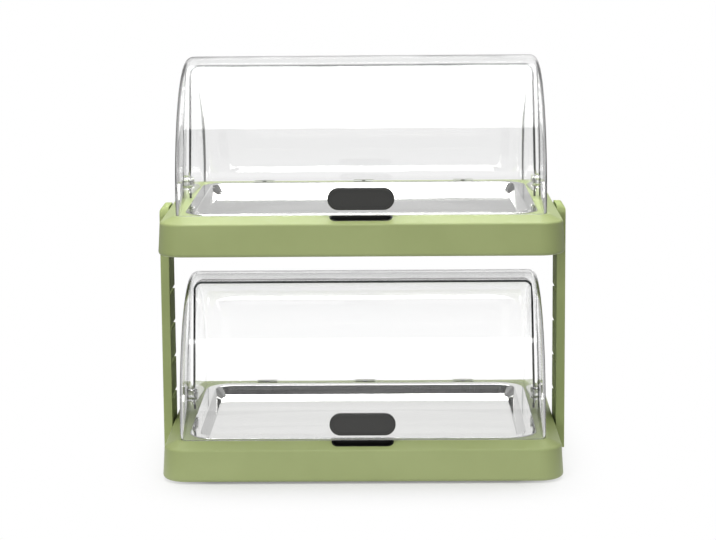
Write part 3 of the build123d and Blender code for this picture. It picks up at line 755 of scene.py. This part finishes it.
both_tones = add_node(tree, "ShaderNodeMath", {
    0: depth_tone.outputs["Color"], 1: side_tone.outputs["Result"],
}, operation="MULTIPLY")
seen_tone = add_node(tree, "ShaderNodeMath", {
    0: both_tones.outputs["Value"], 1: BRIGHTEST,
}, operation="MULTIPLY")
light_path = add_node(tree, "ShaderNodeLightPath")
tone = add_node(tree, "ShaderNodeMix", {
    "Factor": light_path.outputs["Is Camera Ray"], "A": seen_tone.outputs["Value"], "B": 1.0,
}, data_type="FLOAT")
matt = add_node(tree, "ShaderNodeBsdfDiffuse", {"Color": linear("#D6D6D6")})
lit = add_node(tree, "ShaderNodeEmission", {
    "Color": linear("#FFFFFF"), "Strength": tone.outputs["Result"],
})
sweep = add_node(tree, "ShaderNodeMixShader", {"Fac": fade.outputs["Result"]})
tree.links.new(matt.outputs["BSDF"], sweep.inputs[1])
tree.links.new(lit.outputs["Emission"], sweep.inputs[2])
add_node(tree, "ShaderNodeOutputMaterial", {"Surface": sweep.outputs["Shader"]})
table.data.materials.append(studio_white)
print("table", 2 * TABLE_HALF[0], "m by", 2 * TABLE_HALF[1], "m")

# %% [markdown]
# ## The world
#
# What the camera sees behind the object is white at strength 1. Polished surfaces and clear plastic also
# look elsewhere. In front and behind they see a white sweep, whose tone changes with the height of the
# look, and above them a bright ceiling. At each side stands a dark flag, and beyond it the sweep goes on at
# half strength. That contrast is what draws the dark outlines of clear plastic. Matt surfaces get an even,
# weaker light from all round.
#
# Heights and sides are parts of a direction of length 1, so 0.5 up is a look 30 degrees up. The sweep's
# tones are pairs of a height and a brightness.

# %% The world
AMBIENT = 0.35
DARK_SIDE = 0.18
FRONT_TONE = 0.85
FRONT_TO_BACK = 0.1
SWEEP_TONES = ((0.0, 1.0), (0.02, 1.0), (0.08, 0.50), (0.17, 0.50), (0.23, 0.90), (0.50, 0.55))
FLAG_NEAR_EDGE = (0.24, 0.36)
FLAG_FAR_EDGE = (0.50, 0.62)
BEYOND_FLAG = 0.5
CEILING = 1.15
CEILING_EDGE = (0.78, 0.88)

world = bpy.data.worlds.new("white_studio")
bpy.context.scene.world = world
world.use_nodes = True
tree = world.node_tree
tree.nodes.clear()
heading = add_node(tree, "ShaderNodeTexCoord").outputs["Generated"]
ways = add_node(tree, "ShaderNodeSeparateXYZ", {"Vector": heading})
sideways = add_node(tree, "ShaderNodeMath", {0: ways.outputs["X"]}, operation="ABSOLUTE")
ahead = add_node(tree, "ShaderNodeMapRange", {
    "Value": ways.outputs["Y"], "From Min": -FRONT_TO_BACK, "From Max": FRONT_TO_BACK,
    "To Min": FRONT_TONE, "To Max": 1.0,
})
between_flags = add_node(tree, "ShaderNodeMapRange", {
    "Value": sideways.outputs["Value"], "From Min": FLAG_NEAR_EDGE[0], "From Max": FLAG_NEAR_EDGE[1],
    "To Min": 1.0, "To Max": 0.0,
}, interpolation_type="SMOOTHSTEP")
beyond_flag = add_node(tree, "ShaderNodeMapRange", {
    "Value": sideways.outputs["Value"], "From Min": FLAG_FAR_EDGE[0], "From Max": FLAG_FAR_EDGE[1],
    "To Min": 0.0, "To Max": BEYOND_FLAG,
}, interpolation_type="SMOOTHSTEP")
beside_flag = add_node(tree, "ShaderNodeMath", {
    0: between_flags.outputs["Result"], 1: beyond_flag.outputs["Result"],
}, operation="MAXIMUM")
overhead = add_node(tree, "ShaderNodeMapRange", {
    "Value": ways.outputs["Z"], "From Min": CEILING_EDGE[0], "From Max": CEILING_EDGE[1],
    "To Min": 0.0, "To Max": CEILING,
}, interpolation_type="SMOOTHSTEP")
height = add_node(tree, "ShaderNodeMath", {0: ways.outputs["Z"], 1: 0.0}, operation="MAXIMUM")
height_tone = add_node(tree, "ShaderNodeValToRGB", {"Fac": height.outputs["Value"]})
grade(height_tone.color_ramp, SWEEP_TONES)
sweep_tone = add_node(tree, "ShaderNodeMath", {
    0: ahead.outputs["Result"], 1: height_tone.outputs["Color"],
}, operation="MULTIPLY")
backdrop = add_node(tree, "ShaderNodeMath", {
    0: sweep_tone.outputs["Value"], 1: beside_flag.outputs["Value"],
}, operation="MULTIPLY")
bright = add_node(tree, "ShaderNodeMath", {
    0: backdrop.outputs["Value"], 1: overhead.outputs["Result"],
}, operation="MAXIMUM")
studio = add_node(tree, "ShaderNodeMapRange", {
    "Value": bright.outputs["Value"], "From Max": CEILING, "To Min": DARK_SIDE, "To Max": CEILING,
})
seen_white = add_node(tree, "ShaderNodeBackground", {"Color": linear("#FFFFFF"), "Strength": 1.0})
seen_studio = add_node(tree, "ShaderNodeBackground", {
    "Color": linear("#FFFFFF"), "Strength": studio.outputs["Result"],
})
ambient = add_node(tree, "ShaderNodeBackground", {"Color": linear("#FFFFFF"), "Strength": AMBIENT})
light_path = add_node(tree, "ShaderNodeLightPath")
by_plastic = add_node(tree, "ShaderNodeMath", {
    0: light_path.outputs["Is Glossy Ray"], 1: light_path.outputs["Is Transmission Ray"],
}, operation="MAXIMUM")
matt_or_clear = add_node(tree, "ShaderNodeMixShader", {"Fac": by_plastic.outputs["Value"]})
tree.links.new(ambient.outputs["Background"], matt_or_clear.inputs[1])
tree.links.new(seen_studio.outputs["Background"], matt_or_clear.inputs[2])
sky = add_node(tree, "ShaderNodeMixShader", {"Fac": light_path.outputs["Is Camera Ray"]})
tree.links.new(matt_or_clear.outputs["Shader"], sky.inputs[1])
tree.links.new(seen_white.outputs["Background"], sky.inputs[2])
add_node(tree, "ShaderNodeOutputWorld", {"Surface": sky.outputs["Shader"]})
print("world", world.name)

# %% [markdown]
# ## The lamps
#
# A large soft box hangs over the display and lights the rims, the trays and the table. A weaker panel
# stands behind the camera, to the left, and fills the fronts. Neither is mirrored: the world's ceiling and
# sweep stand for them in the steel and the plastic, so that no hard lamp shape crosses the hoods.

# %% The lamps
def soft_box(name, size, place, aim, power):
    """A rectangular lamp of size (width, height) that faces a point."""
    bpy.ops.object.light_add(type="AREA", location=place)
    lamp = bpy.context.object
    lamp.name = name
    lamp.data.shape = "RECTANGLE"
    lamp.data.size, lamp.data.size_y = size
    lamp.data.energy = power
    lamp.rotation_euler = (Vector(place) - Vector(aim)).to_track_quat("Z", "Y").to_euler()
    return lamp


MIDDLE = (0, 0, 0.2)
overhead_box = soft_box("overhead_box", size=(1.6, 2.7), place=(0, 0.15, 1.9), aim=MIDDLE, power=72)
overhead_box.visible_glossy = False
front_panel = soft_box("front_panel", size=(2.4, 1.4), place=(-1.3, -3.0, 1.0), aim=MIDDLE, power=46)
front_panel.visible_glossy = False
front_panel.visible_transmission = False
print("lamps of", overhead_box.data.energy, "W and", front_panel.data.energy, "W")

# %% [markdown]
# ## The camera
#
# A long lens stands 2.3 m away and a little above the display, looking down about eight degrees. The
# photographer kept the uprights nearly upright, so part of the downward look is a lens shift. The place,
# the turns and the lens were worked out from points of the display in the photograph.

# %% The camera
CAMERA_PLACE = (27.7 * MM, -2292.0 * MM, 618.5 * MM)
CAMERA_TILT = radians(8.187)
CAMERA_HEADING = radians(0.8201)
CAMERA_ROLL = radians(-0.460)
FOCAL_PIXELS = 2023.9
AXIS_ABOVE_MIDDLE = 70
IMAGE_WIDTH = 716
SENSOR = 36.0

bpy.ops.object.camera_add()
camera = bpy.context.object
camera.name = "studio_camera"
camera.data.sensor_width = SENSOR
camera.data.lens = FOCAL_PIXELS / IMAGE_WIDTH * SENSOR
camera.data.shift_y = -AXIS_ABOVE_MIDDLE / IMAGE_WIDTH
camera.matrix_world = (
    Matrix.Translation(CAMERA_PLACE)
    @ Matrix.Rotation(CAMERA_HEADING, 4, "Z")
    @ Matrix.Rotation(pi / 2 - CAMERA_TILT, 4, "X")
    @ Matrix.Rotation(CAMERA_ROLL, 4, "Z")
)
bpy.context.scene.camera = camera
bpy.context.scene.view_settings.view_transform = "Standard"
print("lens", round(camera.data.lens, 1), "mm")
